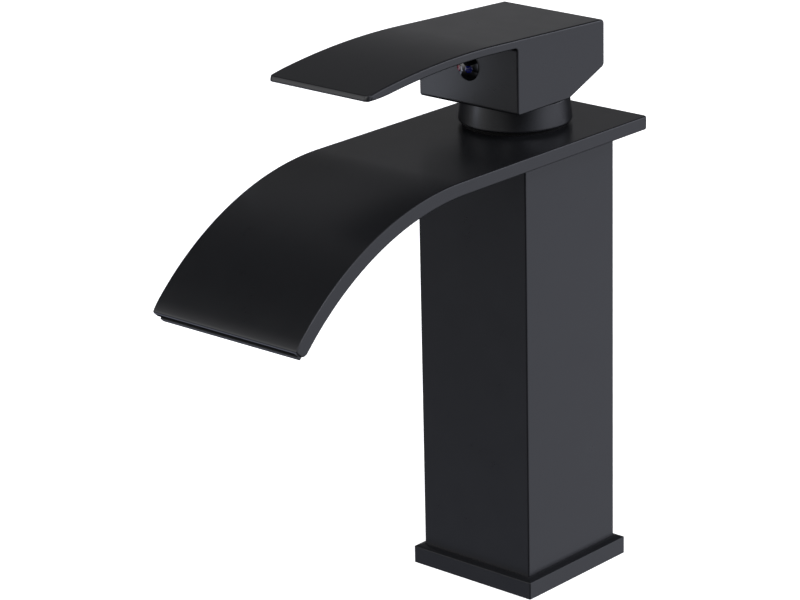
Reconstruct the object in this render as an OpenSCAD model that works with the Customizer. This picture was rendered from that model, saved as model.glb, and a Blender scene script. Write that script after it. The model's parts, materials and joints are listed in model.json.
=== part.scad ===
// Single-lever waterfall basin faucet.
// Origin: centre of the base on the deck plane. +Z is up, the spout points to -Y.
// Side outlines are drawn with the first coordinate forwards (to -Y) and the second upwards.

/* [Column] */
// Width and depth of the square column
column_w = 45; // [43:0.5:50]
// Wall of the column
column_wall = 2.5; // [1.5:0.1:3]
// Radius of the column's upright corners
column_round = 0.8; // [0.3:0.1:1.4]

/* [Base] */
// How far the flange stands out past the column
flange_over = 2.6; // [2.2:0.1:5]
// Height of the flange
flange_h = 6.6; // [5.5:0.1:10]
// Radius of the flange's rounded upper edge
flange_round = 2.5; // [0.5:0.1:2.6]
// Thickness of the flange's floor under the column
flange_floor = 3; // [2.5:0.1:4]
// Width of the square way through the flange for stud and hoses
flange_way = 36; // [34:0.5:37]
// Thickness of the sealing ring under the flange
gasket_t = 1.5; // [0.8:0.1:2]
// Width of the sealing ring
gasket_w = 3; // [1.5:0.1:3.5]

/* [Spout] */
// Height of the spout's flat top above the deck
spout_top_z = 152.6; // [120:0.2:220]
// Width of the spout
spout_w = 59.6; // [54:0.2:70]
// Thickness of the spout where it is flat
spout_t = 4.5; // [4:0.1:6]
// From the column's axis to the spout's back edge
spout_tail = 31.5; // [28:0.5:40]
// From the column's axis to the tip of the nose
spout_reach = 137.3; // [110:0.1:145]
// From the column's axis to where the top starts to bend
bend_start = 61.7; // [45:0.1:75]
// Radius of the bend of the top
bend_r = 102; // [95:0.5:140]
// How much sooner the underside starts to bend
under_lead = 2.1; // [0:0.1:3]
// How much smaller the underside's radius is
under_less = 1.5; // [0.5:0.1:4]
// Thickness of the top skin
skin_t = 1.2; // [0.8:0.1:1.4]
// Thickness of the spout's floor
floor_t = 1.3; // [0.8:0.1:1.5]
// Thickness of the spout's side walls
side_t = 1.5; // [1:0.1:3]
// Radius of the two back corners seen from above
tail_round = 1.7; // [0.5:0.1:4]
// Radius of the upper edge of the nose
nose_round = 0.8; // [0.3:0.1:1]

/* [Neck ring] */
// Thickness of the ring's gasket
neck_gasket_t = 1.2; // [0.8:0.1:2]
// Radius of the ring at its foot
ring_foot_r = 18.55; // [18.2:0.05:20]
// Radius of the ring at its shoulder
ring_shoulder_r = 17.6; // [17.4:0.05:18]
// Height of the ring up to its shoulder
ring_h = 8.2; // [7.4:0.1:8.6]
// Radius of the ring's domed top about the lever's pivot
dome_r = 18.3; // [18.1:0.05:18.6]
// Wall of the domed top
dome_wall = 1.6; // [1:0.1:2]
// Radius of the hole in the domed top
dome_hole_r = 11.3; // [10.8:0.1:12]

/* [Valve body] */
// Depth of the valve body below the spout
valve_h = 30; // [28:0.5:45]
// Radius of the boss that goes up through the spout
boss_r = 16; // [15.5:0.05:16.2]
// How far the boss stands above the spout
boss_up = 6.9; // [6:0.1:7.5]
// Radius of the inlet threads at their wall
inlet_r = 4.5; // [4:0.1:4.8]
// Metal left between the inlet threads and the cartridge's seat
inlet_cover = 4.9; // [4.5:0.1:6]
// From the column's mid plane to each inlet
inlet_x = 7; // [6.8:0.1:7.5]
// From the column's axis forwards to the inlets
inlet_front = 3; // [2.5:0.1:3.5]
// Radius of the drilled riser ways
riser_r = 2; // [1.5:0.1:2.2]
// Radius of the drilled cross ways
cross_r = 1.6; // [1.2:0.1:1.7]

/* [Cartridge] */
// Height of the lever's pivot above the spout
pivot_up = 1.4; // [1.2:0.1:1.6]
// From the pivot down to the cartridge's seat
seat_down = 21; // [20.8:0.1:22]
// From the pivot down to the cartridge's shoulder
shoulder_down = 4; // [3.8:0.1:4.2]
// From the pivot up to the top of the turning part
rotor_up = 7; // [6.7:0.1:7.1]
// Radius of the cartridge
cartridge_r = 12.5; // [12.3:0.1:12.8]
// Radius of the cartridge's neck
cartridge_neck_r = 10; // [9.7:0.1:10.2]
// Radius of the room inside the cartridge
chamber_r = 10.4; // [10.2:0.1:10.8]
// Thickness of the base plate and of each ceramic disc
disc_t = 2; // [1.5:0.1:2.1]
// Radius of the moving disc
moving_disc_r = 8; // [7.6:0.1:8.2]
// How far the moving disc sits behind the axis when closed
disc_rest_back = 1.5; // [1.2:0.1:1.6]
// Radius of the two inlet ports
port_r = 1.8; // [1.4:0.1:1.9]
// Radius of the outlet port
outlet_r = 2.3; // [1.8:0.1:2.5]
// Radius of the turning part in the neck
rotor_r = 8.6; // [8.4:0.05:8.8]
// Radius of the pivot pin
pin_r = 1.5; // [1.2:0.05:1.8]
// Width of the square stem
stem_w = 7; // [6:0.1:7.4]
// From the pivot up to the top of the stem
stem_up = 27; // [24:0.5:28]
// From the pivot down to the middle of the stem's ball
stem_arm = 10; // [9.8:0.1:10.4]
// Radius of the stem's ball
ball_r = 2.2; // [2:0.05:2.3]
// Radius of the hollow under the moving disc
hollow_r = 4.2; // [3.6:0.1:4.4]

/* [Handle] */
// Width of the handle
handle_w = 40.9; // [39:0.1:46]
// Gap between the neck ring's shoulder and the block
block_gap = 1; // [0.8:0.1:1.5]
// Height of the block at its back
block_h = 22.5; // [21.5:0.1:26]
// From the axis to the block's front
block_front = 23.2; // [22:0.1:25]
// From the axis to the block's back
block_back = 20.5; // [20:0.1:24]
// From the axis back to the start of the slope under the block
slope_start = 2.6; // [2:0.1:4]
// Angle of the slope under the block
slope_angle = 21.9; // [20.4:0.1:24]
// Angle at which the top rises towards the front
rise_angle = 2.75; // [1:0.05:4]
// From the axis forwards to where the top starts to arch
arch_start = 33.5; // [25:0.5:45]
// Radius of the arch
arch_r = 275; // [220:1:400]
// From the axis to the tip of the lever
lever_reach = 93.3; // [80:0.1:110]
// Thickness of the lever
lever_t = 2.85; // [2.4:0.05:4]
// Radius of the lever's thin nose
lever_nose_r = 0.4; // [0.3:0.05:1]
// Length over which the lever's top rolls off towards its nose
nose_roll = 5; // [2:0.5:10]
// Angle by which the top rolls off
nose_turn = 8; // [4:1:20]
// Length over which the lever's underside curls up to its nose
nose_curl = 11.3; // [5:0.1:15]
// Furthest lift of the lever, in degrees
lift_angle = 20; // [15:1:20]

/* [Button] */
// Radius of the indicator button
button_r = 4.5; // [4:0.05:5]
// How far the button stands proud
button_proud = 2.6; // [1.5:0.1:3]
// Depth of the button in the block
button_depth = 4; // [3:0.1:5]
// Height of the button's middle above the block's underside
button_up = 12.7; // [12:0.1:13.5]
// Radius of each coloured marker
marker_r = 1.4; // [1:0.05:1.6]
// From the button's middle to each marker
marker_x = 2.05; // [1.8:0.05:2.3]
// Radius of the grub screw
grub_r = 2.5; // [1.5:0.1:2.5]

/* [Deck fixing] */
// Thickness of the deck that the faucet is clamped to
deck_t = 30; // [15:1:35]
// Radius of the stud
stud_r = 4; // [3:0.1:4]
// From the axis back to the stud
stud_back = 12; // [11.5:0.1:12.5]
// Metal left between the stud's end and the cartridge's seat
stud_cover = 3.9; // [3:0.1:6]
// Length of stud below the nut as fitted
stud_spare = 9; // [9:1:30]
// Thickness of the rubber washer
rubber_t = 3; // [1.5:0.1:4]
// Thickness of the steel washer
steel_t = 2; // [1.5:0.1:3]
// Radius of the horseshoe washers
horseshoe_r = 27; // [25:0.5:30]
// Width of the way through the washers for the hoses
horseshoe_way = 27; // [25:0.5:28]
// From the axis back to the end of that way
horseshoe_end = 4; // [3:0.1:5]
// Height of the nut
nut_h = 12; // [6:0.5:14]
// Width of the nut across its flats
nut_flats = 13; // [12:0.1:14]

/* [Clearances] */
// Radial play of a turning or sliding fit
run_gap = 0.08; // [0.03:0.01:0.1]
// Play between fixed pieces that slip together
slip_gap = 0.1; // [0.05:0.01:0.15]
// Play of the valve body in the column
body_gap = 0.2; // [0.1:0.05:0.4]
// Room between pieces that sweep past each other
sweep_gap = 0.5; // [0.4:0.05:0.6]

/* [Hidden] */
$fn = 128;

// Finishes
satin_black = "#2b2b2e";
gloss_black = "#141416";
brass = "#b5985a";
steel = "#b9bcc0";
rubber_black = "#1e1e1e";
ceramic = "#e8e6e0";
plastic_white = "#d9d9d4";

// Heights
spout_under_z = spout_top_z - spout_t;
valve_bottom_z = spout_under_z - valve_h;
boss_top_z = spout_top_z + boss_up;
pivot_z = spout_top_z + pivot_up;
seat_z = pivot_z - seat_down;
inlet_top_z = seat_z - inlet_cover;
ring_foot_z = spout_top_z + neck_gasket_t;
ring_shoulder_z = ring_foot_z + ring_h;
block_bottom_z = ring_shoulder_z + block_gap;
// Radius of the handle's hollow about the pivot, which clears the ring's shoulder and dome
handle_hollow_r = max(dome_r, norm([ring_shoulder_r, ring_shoulder_z - pivot_z])) + sweep_gap;
button_z = block_bottom_z + button_up;

// Stack inside the cartridge, from its seat upwards
fixed_disc_z = seat_z + disc_t;
moving_disc_z = fixed_disc_z + disc_t + run_gap / 2;
carrier_z = moving_disc_z + disc_t;
carrier_plate_t = 1.9;
carrier_wall = 0.8;
carrier_over = 1.2;
inner_gap = 0.3;
ball_z = pivot_z - stem_arm;
ball_play = 0.15;
arm_r = 0.7 * ball_r;
carrier_top_z = ball_z + carrier_over;
carrier_block_w = stem_w - 2 * inner_gap;
carrier_block_half = ball_r + carrier_wall;
hollow_back = 1.2;
rotor_z = carrier_z + carrier_plate_t + inner_gap;
rotor_flange_t = 3.4;
rotor_top_z = pivot_z + rotor_up;
shoulder_z = pivot_z - shoulder_down;
nut_grip = 1.4;
nut_thread_r = cartridge_r + nut_grip;
nut_thread_h = 8;
nut_hex_step = 0.6;
nut_hex_r = nut_thread_r - nut_hex_step;
nut_hex_h = rotor_top_z - shoulder_z - nut_thread_h;
pin_short = 0.3;
press_gap = 0.01;

// Half length of the slot in which the stem swings and the carrier's block slides
stem_swing = sin(lift_angle) * (rotor_top_z - pivot_z) + stem_w / 2 / cos(lift_angle);
carrier_travel = stem_arm * lift_angle * PI / 180;
slot_half = inner_gap + max(stem_swing, carrier_travel + carrier_block_half);

// Seals in their grooves
seal_depth = 0.9;
seal_h = 1;
boss_seal_z = spout_top_z - (skin_t + seal_h) / 2;
housing_seal_z = fixed_disc_z + disc_t;
port_seal_w = 1.2;
port_seal_h = 0.9;

// Ways for the water
port_at = [4.5, 2.5];
outlet_back = 4;
riser_wall = 0.8;
riser_ring = boss_r + riser_r + riser_wall;
riser_turn = 50;
riser_x = riser_ring * cos(riser_turn);
riser_front = riser_ring * sin(riser_turn);
cross_z = (seat_z + inlet_top_z) / 2;

// Column and base
column_in = column_w - 2 * column_wall;
flange_w = column_w + 2 * flange_over;
gasket_inset = 0.5;
gasket_outer = column_w + 2 * gasket_inset;
valve_w = column_in - 2 * body_gap;

// Spout bend
spout_in_w = spout_w - 2 * side_t;
bend_centre = [bend_start, spout_top_z - bend_r];
under_r = bend_r - under_less;
under_centre = [bend_start - under_lead, spout_under_z - under_r];
tip_angle = asin((spout_reach - bend_start) / bend_r);

// Lever arch
inwards = [sin(rise_angle), -cos(rise_angle)];
arch_top = [arch_start,
            block_bottom_z + block_h + (arch_start + block_back) * tan(rise_angle)];
arch_centre = arch_top + arch_r * inwards;
lever_nose_centre_r = arch_r - nose_turn * PI / 180 * nose_roll / 2 - lever_nose_r;
lever_nose_angle = asin((lever_reach - lever_nose_r - arch_centre[0]) / lever_nose_centre_r);
lever_nose = arch_centre
             + lever_nose_centre_r * [sin(lever_nose_angle), cos(lever_nose_angle)];
under_nose = arch_centre
             + (arch_r - lever_t) * [sin(lever_nose_angle), cos(lever_nose_angle)];
curl_start = lever_reach - nose_curl;
lever_steps = 48;
slope_rise = (block_back - slope_start) * tan(slope_angle);

// Button cap: a sphere that reaches its proud height over the button's radius
cap_r = (pow(button_r, 2) + pow(button_proud, 2)) / (2 * button_proud);
cap_centre = button_proud - cap_r;
marker_depth = 0.8;
marker_proud = 0.08;
marker_play = 0.03;

// Stem socket and grub screw
socket_top_z = pivot_z + stem_up + 1;
grub_len = 8;
grub_hex_r = 0.58 * grub_r;
grub_hex_depth = 3;

// Deck fixing
nut_top_z = -deck_t - rubber_t - steel_t;
stud_bottom_z = nut_top_z - nut_h - stud_spare;
stud_top_z = seat_z - stud_cover;
washer_play = 0.25;
washer_step = 0.5;
steel_washer_r = horseshoe_r - washer_step;

// A small step so that a cut goes cleanly through a face
through = 1;

// How far an arc runs on under the straight stretch that it is tangent to
arc_overlap = 8;

// A side outline carried across the faucet
module across(width) {
    rotate([90, 0, -90])
        linear_extrude(height = width, center = true)
            children();
}

// A square with round corners
module round_square(width, radius) {
    square([width, width - 2 * radius], center = true);
    square([width - 2 * radius, width], center = true);
    for (x = [-1, 1], y = [-1, 1])
        translate([x, y] * (width / 2 - radius))
            circle(r = radius);
}

// A ring that stands on z
module ring(inner, outer, z, height) {
    translate([0, 0, z])
        rotate_extrude()
            translate([inner, 0])
                square([outer - inner, height]);
}

// An upright rod from z0 to z1
module rod(radius, z0, z1) {
    translate([0, 0, z0])
        cylinder(r = radius, h = z1 - z0);
}

// Places its children at both inlets, at a distance x from the mid plane
module both_sides(x, front) {
    for (side = [-1, 1])
        translate([side * x, -front, 0])
            children();
}

// The flange's side outline, with its rounded upper edges
module flange_outline() {
    half = flange_w / 2;
    translate([-half, 0])
        square([flange_w, flange_h - flange_round]);
    translate([-half + flange_round, 0])
        square([flange_w - 2 * flange_round, flange_h]);
    for (side = [-1, 1])
        translate([side * (half - flange_round), flange_h - flange_round])
            circle(r = flange_round);
}

module base_flange() color(satin_black) difference() {
    intersection() {
        across(flange_w) flange_outline();
        rotate([0, 0, 90]) across(flange_w) flange_outline();
    }
    translate([0, 0, flange_floor])
        linear_extrude(height = flange_h)
            square(column_w + slip_gap, center = true);
    translate([0, 0, -through])
        linear_extrude(height = flange_h)
            square(flange_way, center = true);
    translate([0, 0, -through])
        linear_extrude(height = gasket_t + through)
            gasket_outline(slip_gap);
}

module gasket_outline(play) {
    difference() {
        square(gasket_outer + play, center = true);
        square(gasket_outer - 2 * gasket_w - play, center = true);
    }
}

module base_gasket() color(rubber_black)
    linear_extrude(height = gasket_t)
        gasket_outline(0);

module column_shell() color(satin_black)
    translate([0, 0, flange_floor])
        linear_extrude(height = spout_under_z - flange_floor)
            difference() {
                round_square(column_w, column_round);
                square(column_in, center = true);
            }

// Everything under the top of the spout, lowered by drop
module under_spout_top(drop) {
    translate([-spout_tail, bend_centre[1]])
        square([spout_tail + bend_start, bend_r - drop]);
    translate(bend_centre)
        intersection() {
            circle(r = bend_r - drop, $fn = 360);
            translate([-arc_overlap, 0])
                square([bend_r + arc_overlap, bend_r]);
        }
}

// Everything under the spout's underside, raised by rise_by
module under_spout_floor(rise_by) {
    translate([-spout_tail - through, under_centre[1]])
        square([spout_tail + through + under_centre[0], under_r + rise_by]);
    translate(under_centre)
        intersection() {
            circle(r = under_r + rise_by, $fn = 360);
            translate([-arc_overlap, 0])
                square([under_r + rise_by + arc_overlap, under_r + rise_by]);
        }
}

// Everything past the end of the nose
module past_spout_tip() {
    translate(bend_centre)
        rotate(-tip_angle)
            translate([0, -through])
                square([2 * bend_r, 2 * bend_r]);
}

// The sharp corner that the round upper edge of the nose takes away
module nose_corner() {
    centre_r = bend_r - nose_round;
    round_centre = [-nose_round, sqrt(pow(centre_r, 2) - pow(nose_round, 2))];
    tangent_point = round_centre * bend_r / centre_r;
    translate(bend_centre)
        rotate(-tip_angle)
            difference() {
                polygon([round_centre,
                         [through, round_centre[1]],
                         [through, bend_r + through],
                         [tangent_point[0], bend_r + through],
                         tangent_point]);
                translate(round_centre)
                    circle(r = nose_round, $fn = 48);
            }
}

// The spout seen from above, with round back corners
module spout_plan() {
    front = spout_reach + through;
    translate([-spout_w / 2, -front])
        square([spout_w, front + spout_tail - tail_round]);
    translate([-spout_w / 2 + tail_round, 0])
        square([spout_w - 2 * tail_round, spout_tail]);
    for (side = [-1, 1])
        translate([side * (spout_w / 2 - tail_round), spout_tail - tail_round])
            circle(r = tail_round);
}

module spout_cover() color(satin_black) difference() {
    intersection() {
        across(spout_w)
            difference() {
                under_spout_top(0);
                under_spout_floor(0);
                past_spout_tip();
                nose_corner();
            }
        linear_extrude(height = spout_top_z + through)
            spout_plan();
    }
    across(spout_in_w)
        difference() {
            under_spout_top(skin_t);
            translate([-spout_tail - through, 0])
                square([side_t + through, spout_top_z]);
        }
    rod(boss_r + slip_gap, spout_under_z - through, spout_top_z + through);
}

module spout_floor() color(satin_black) difference() {
    across(spout_in_w)
        difference() {
            under_spout_floor(floor_t);
            under_spout_floor(0);
            past_spout_tip();
            translate([-spout_tail - 2 * through, 0])
                square([side_t + 2 * through, spout_top_z]);
        }
    rod(boss_r + slip_gap, spout_under_z - through, spout_top_z);
    both_sides(riser_x, riser_front)
        rod(riser_r + slip_gap, spout_under_z - through, spout_top_z);
}

module valve_body() color(brass) difference() {
    union() {
        translate([0, 0, valve_bottom_z])
            linear_extrude(height = valve_h)
                square(valve_w, center = true);
        rod(boss_r, spout_under_z - through, boss_top_z);
    }
    // room for the nut and the cartridge
    rod(nut_thread_r + slip_gap, shoulder_z, boss_top_z + through);
    rod(cartridge_r + slip_gap, seat_z, shoulder_z + through);
    // groove for the seal in the spout's hole
    ring(boss_r - seal_depth, boss_r + through, boss_seal_z, seal_h);
    // hot and cold water in
    both_sides(inlet_x, inlet_front)
        rod(inlet_r, valve_bottom_z - through, inlet_top_z);
    both_sides(port_at[0], port_at[1])
        rod(port_r, inlet_top_z - through, seat_z + through);
    // mixed water out and up into the spout
    translate([0, outlet_back, 0])
        rod(outlet_r, cross_z, seat_z + through);
    translate([0, outlet_back, cross_z])
        rotate([90, 0, 0])
            cylinder(r = cross_r, h = outlet_back + riser_front);
    translate([-riser_x, -riser_front, cross_z])
        rotate([0, 90, 0])
            cylinder(r = cross_r, h = 2 * riser_x);
    both_sides(riser_x, riser_front)
        rod(riser_r, cross_z - cross_r, spout_under_z + through);
    // thread for the stud
    translate([0, stud_back, 0])
        rod(stud_r + run_gap, valve_bottom_z - through, stud_top_z + through);
}

// A seal that sits in a groove around a rod of the given radius
module groove_seal(radius, z) {
    ring(radius - seal_depth + slip_gap / 2, radius + slip_gap / 2, z, seal_h);
}

module boss_seal() color(rubber_black)
    groove_seal(boss_r, boss_seal_z);

// Places its children at the two inlet ports and at the outlet port
module ports(inlet_radius, outlet_radius, z0, z1) {
    both_sides(port_at[0], port_at[1])
        rod(inlet_radius, z0, z1);
    translate([0, outlet_back, 0])
        rod(outlet_radius, z0, z1);
}

module cartridge_base() color(plastic_white) difference() {
    rod(cartridge_r, seat_z, fixed_disc_z);
    ports(port_r, outlet_r, seat_z - through, fixed_disc_z + through);
    ports(port_r + port_seal_w + slip_gap / 2, outlet_r + port_seal_w + slip_gap / 2,
          seat_z - through, seat_z + port_seal_h);
}

module port_seals() color(rubber_black) {
    both_sides(port_at[0], port_at[1])
        ring(port_r, port_r + port_seal_w, seat_z, port_seal_h);
    translate([0, outlet_back, 0])
        ring(outlet_r, outlet_r + port_seal_w, seat_z, port_seal_h);
}

module fixed_disc() color(ceramic) difference() {
    rod(chamber_r - slip_gap, fixed_disc_z, fixed_disc_z + disc_t);
    ports(port_r, outlet_r, fixed_disc_z - through, fixed_disc_z + disc_t + through);
}

module cartridge_housing() color(plastic_white) difference() {
    union() {
        rod(cartridge_r, fixed_disc_z, shoulder_z);
        rod(cartridge_neck_r, shoulder_z - through, rotor_top_z);
    }
    rod(chamber_r, fixed_disc_z - through, rotor_z + rotor_flange_t + slip_gap);
    rod(rotor_r + run_gap, fixed_disc_z, rotor_top_z + through);
    ring(cartridge_r - seal_depth, cartridge_r + through, housing_seal_z, seal_h);
}

module housing_seal() color(rubber_black)
    groove_seal(cartridge_r, housing_seal_z);

module retaining_nut() color(brass) difference() {
    union() {
        rod(nut_thread_r, shoulder_z, shoulder_z + nut_thread_h);
        translate([0, 0, shoulder_z + nut_thread_h])
            cylinder(r = nut_hex_r, h = nut_hex_h, $fn = 6);
    }
    rod(cartridge_neck_r + slip_gap, shoulder_z - through, rotor_top_z + through);
}

module neck_gasket() color(rubber_black)
    ring(boss_r + slip_gap, ring_shoulder_r - gasket_inset, spout_top_z, neck_gasket_t);

module neck_ring() color(satin_black) rotate_extrude() difference() {
    union() {
        polygon([[0, ring_foot_z],
                 [ring_foot_r, ring_foot_z],
                 [ring_shoulder_r, ring_shoulder_z],
                 [0, ring_shoulder_z]]);
        intersection() {
            translate([0, pivot_z])
                circle(r = dome_r);
            translate([0, ring_foot_z])
                square(dome_r + through);
        }
    }
    // the boss, the nut and the cartridge inside
    translate([0, ring_foot_z - through])
        square([boss_r + slip_gap, boss_top_z + slip_gap - ring_foot_z + through]);
    intersection() {
        translate([0, pivot_z])
            circle(r = dome_r - dome_wall);
        translate([0, boss_top_z])
            square(dome_r);
    }
    translate([0, ring_foot_z])
        square([dome_hole_r, 2 * dome_r]);
}

module mounting_stud() color(steel)
    translate([0, stud_back, 0])
        rod(stud_r, stud_bottom_z, stud_top_z);

module cartridge_rotor() color(plastic_white) difference() {
    union() {
        rod(rotor_r, rotor_z, rotor_top_z);
        rod(chamber_r - run_gap, rotor_z, rotor_z + rotor_flange_t);
    }
    translate([0, 0, (rotor_z + rotor_top_z) / 2])
        cube([stem_w + 2 * slip_gap, 2 * slot_half, rotor_top_z - rotor_z + 2 * through],
             center = true);
    translate([0, 0, pivot_z])
        rotate([0, 90, 0])
            cylinder(r = pin_r + press_gap, h = 3 * rotor_r, center = true);
}

module pivot_pin() color(steel)
    translate([0, 0, pivot_z])
        rotate([0, 90, 0])
            cylinder(r = pin_r, h = 2 * (rotor_r - pin_short), center = true);

module disc_carrier() color(plastic_white) difference() {
    union() {
        translate([0, disc_rest_back, 0])
            rod(moving_disc_r, carrier_z, carrier_z + carrier_plate_t);
        translate([-carrier_block_w / 2, -carrier_block_half, carrier_z])
            cube([carrier_block_w, 2 * carrier_block_half, carrier_top_z - carrier_z]);
    }
    rod(ball_r + ball_play, ball_z - ball_r - inner_gap, carrier_top_z + through);
}

module moving_disc() color(ceramic) difference() {
    translate([0, disc_rest_back, 0])
        rod(moving_disc_r, moving_disc_z, moving_disc_z + disc_t);
    // hollow in the underside that joins the ports when open
    translate([0, disc_rest_back + hollow_back, moving_disc_z - through])
        cylinder(r = hollow_r, h = through + disc_t / 2);
}

module cartridge_stem() color(steel) difference() {
    union() {
        translate([-stem_w / 2, -stem_w / 2, pivot_z - stem_w / 2])
            cube([stem_w, stem_w, stem_up + stem_w / 2]);
        rod(arm_r, ball_z, pivot_z);
        translate([0, 0, ball_z])
            sphere(r = ball_r);
    }
    translate([0, 0, pivot_z])
        rotate([0, 90, 0])
            cylinder(r = pin_r + run_gap / 2, h = 2 * stem_w, center = true);
}

// Points on an arc, from one angle to another, counted forwards from upright
function arc(centre, radius, from, to, steps) =
    [for (i = [0:steps])
        let (a = from + (to - from) * i / steps)
            centre + radius * [sin(a), cos(a)]];

// How far the lever's top has dropped at an angle, where it rolls off towards the nose
function nose_drop(angle) =
    let (rolled = nose_roll - arch_r * (lever_nose_angle - angle) * PI / 180)
        nose_turn * PI / 180 * pow(max(rolled, 0), 2) / (2 * nose_roll);

// How far the lever's underside has curled up at a distance from the axis
function nose_lift(reach) =
    (lever_nose[1] - lever_nose_r - under_nose[1])
    * pow(max(reach - curl_start, 0) / (under_nose[0] - curl_start), 2);

// The side outline of block and lever: along the top to the thin round nose, back under
// the lever, down the block's front, along its underside and up the slope
module handle_outline() {
    angles = [for (i = [0:lever_steps])
                  -rise_angle + (lever_nose_angle + rise_angle) * i / lever_steps];
    under_lever_z = arch_top[1] - (arch_start - block_front) * tan(rise_angle)
                    - lever_t / cos(rise_angle);
    polygon(concat(
        [[-block_back, block_bottom_z + block_h]],
        [for (a = angles)
             arch_centre + (arch_r - nose_drop(a)) * [sin(a), cos(a)]],
        arc(lever_nose, lever_nose_r, lever_nose_angle + 30, lever_nose_angle + 150, 6),
        [for (i = [lever_steps:-1:0])
             let (p = arch_centre + (arch_r - lever_t) * [sin(angles[i]), cos(angles[i])])
                 p + [0, nose_lift(p[0])]],
        [[block_front, under_lever_z],
         [block_front, block_bottom_z],
         [-slope_start, block_bottom_z],
         [-block_back, block_bottom_z + slope_rise]]));
}

// Places its children on the block's front face, with +Z pointing out of it
module on_front() {
    translate([0, -block_front, button_z])
        rotate([90, 0, 0])
            children();
}

module handle_lever() color(satin_black) difference() {
    across(handle_w) handle_outline();
    // hollow that sweeps over the neck ring's shoulder and dome
    translate([0, 0, pivot_z])
        sphere(r = handle_hollow_r);
    // square socket for the stem
    translate([0, 0, (pivot_z + socket_top_z) / 2])
        cube([stem_w + slip_gap, stem_w + slip_gap, socket_top_z - pivot_z], center = true);
    // button seat, and the way of the grub screw behind it
    on_front()
        translate([0, 0, -button_depth - slip_gap])
            cylinder(r = button_r, h = button_depth + through);
    on_front()
        translate([0, 0, -block_front])
            cylinder(r = grub_r, h = block_front - button_depth);
}

module grub_screw() color(steel)
    on_front()
        translate([0, 0, -block_front + stem_w / 2 + slip_gap / 2])
            difference() {
                cylinder(r = grub_r - slip_gap / 2, h = grub_len);
                translate([0, 0, grub_len - grub_hex_depth])
                    cylinder(r = grub_hex_r, h = grub_hex_depth + through, $fn = 6);
            }

// A marker's pin, whose end follows the cap and stands a little proud of it
module marker_pin(side) {
    intersection() {
        translate([side * marker_x, 0, marker_depth])
            cylinder(r = marker_r - marker_play, h = button_proud + through);
        translate([0, 0, cap_centre])
            sphere(r = cap_r + marker_proud);
    }
}

module indicator_button() color(gloss_black) on_front() difference() {
    union() {
        translate([0, 0, -button_depth])
            cylinder(r = button_r - slip_gap / 2, h = button_depth);
        intersection() {
            translate([0, 0, cap_centre])
                sphere(r = cap_r);
            cylinder(r = button_r - slip_gap / 2, h = button_proud + through);
        }
    }
    for (side = [-1, 1])
        translate([side * marker_x, 0, marker_depth])
            cylinder(r = marker_r, h = button_proud);
}

module hot_marker() color("red") on_front()
    marker_pin(-1);

module cold_marker() color("blue") on_front()
    marker_pin(1);

// A horseshoe washer: round, with an open way for the hoses and a hole for the stud
module horseshoe(thickness, z, radius) {
    translate([0, 0, z])
        linear_extrude(height = thickness)
            difference() {
                circle(r = radius);
                translate([-horseshoe_way / 2, -radius - through])
                    square([horseshoe_way, radius + through + horseshoe_end]);
                translate([0, stud_back])
                    circle(r = stud_r + washer_play);
            }
}

module rubber_washer() color(rubber_black)
    horseshoe(rubber_t, -deck_t - rubber_t, horseshoe_r);

module steel_washer() color(steel)
    horseshoe(steel_t, nut_top_z, steel_washer_r);

module clamp_nut() color(brass)
    translate([0, stud_back, nut_top_z - nut_h])
        difference() {
            cylinder(r = nut_flats / 2 / cos(30), h = nut_h, $fn = 6);
            translate([0, 0, -through])
                cylinder(r = stud_r + run_gap, h = nut_h + 2 * through);
        }

base_flange();
base_gasket();
column_shell();
spout_cover();
spout_floor();
valve_body();
boss_seal();
cartridge_housing();
cartridge_base();
port_seals();
housing_seal();
fixed_disc();
retaining_nut();
neck_gasket();
neck_ring();
mounting_stud();
cartridge_rotor();
pivot_pin();
disc_carrier();
moving_disc();
cartridge_stem();
handle_lever();
grub_screw();
indicator_button();
hot_marker();
cold_marker();
rubber_washer();
steel_washer();
clamp_nut();
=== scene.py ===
# %% [markdown]
# # A satin black waterfall faucet
#
# This notebook dresses a imported CAD faucet for a studio picture. The CAD gives every piece its
# size, its place and its motion. Here each piece that shows gets the softened edges and the
# coating that catch the light on the real thing, and each hidden piece gets its own finish.
# The first step loads the CAD and its record.

# %% Load the frame
import json
import math

import bmesh
import bpy
import numpy as np
from mathutils import Matrix, Vector


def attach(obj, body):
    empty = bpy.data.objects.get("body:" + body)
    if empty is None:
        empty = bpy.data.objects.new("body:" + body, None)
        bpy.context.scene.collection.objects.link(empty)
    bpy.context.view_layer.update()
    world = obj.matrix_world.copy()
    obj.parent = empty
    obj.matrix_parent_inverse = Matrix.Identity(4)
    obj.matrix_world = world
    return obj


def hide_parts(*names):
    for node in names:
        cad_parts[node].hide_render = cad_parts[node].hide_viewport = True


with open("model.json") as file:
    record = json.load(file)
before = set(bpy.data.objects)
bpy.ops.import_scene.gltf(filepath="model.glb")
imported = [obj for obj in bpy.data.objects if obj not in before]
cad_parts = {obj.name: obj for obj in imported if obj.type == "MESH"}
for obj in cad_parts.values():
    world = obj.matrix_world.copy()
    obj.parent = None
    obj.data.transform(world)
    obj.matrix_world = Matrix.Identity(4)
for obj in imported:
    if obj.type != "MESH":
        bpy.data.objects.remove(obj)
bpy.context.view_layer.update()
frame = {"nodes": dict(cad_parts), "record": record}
MM = 0.001

# %% [markdown]
# ## The camera
#
# A product photograph is taken from far away with a long lens, which keeps upright edges almost
# parallel. A camera could be aimed by eye, but this one's place, turn and lens were worked out
# from the straight edges in the photograph, so the two pictures can be laid over each other. It
# looks down from the front right with a small roll. Its focal length and its shift are given in
# pixels, and its distances in metres.

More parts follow.
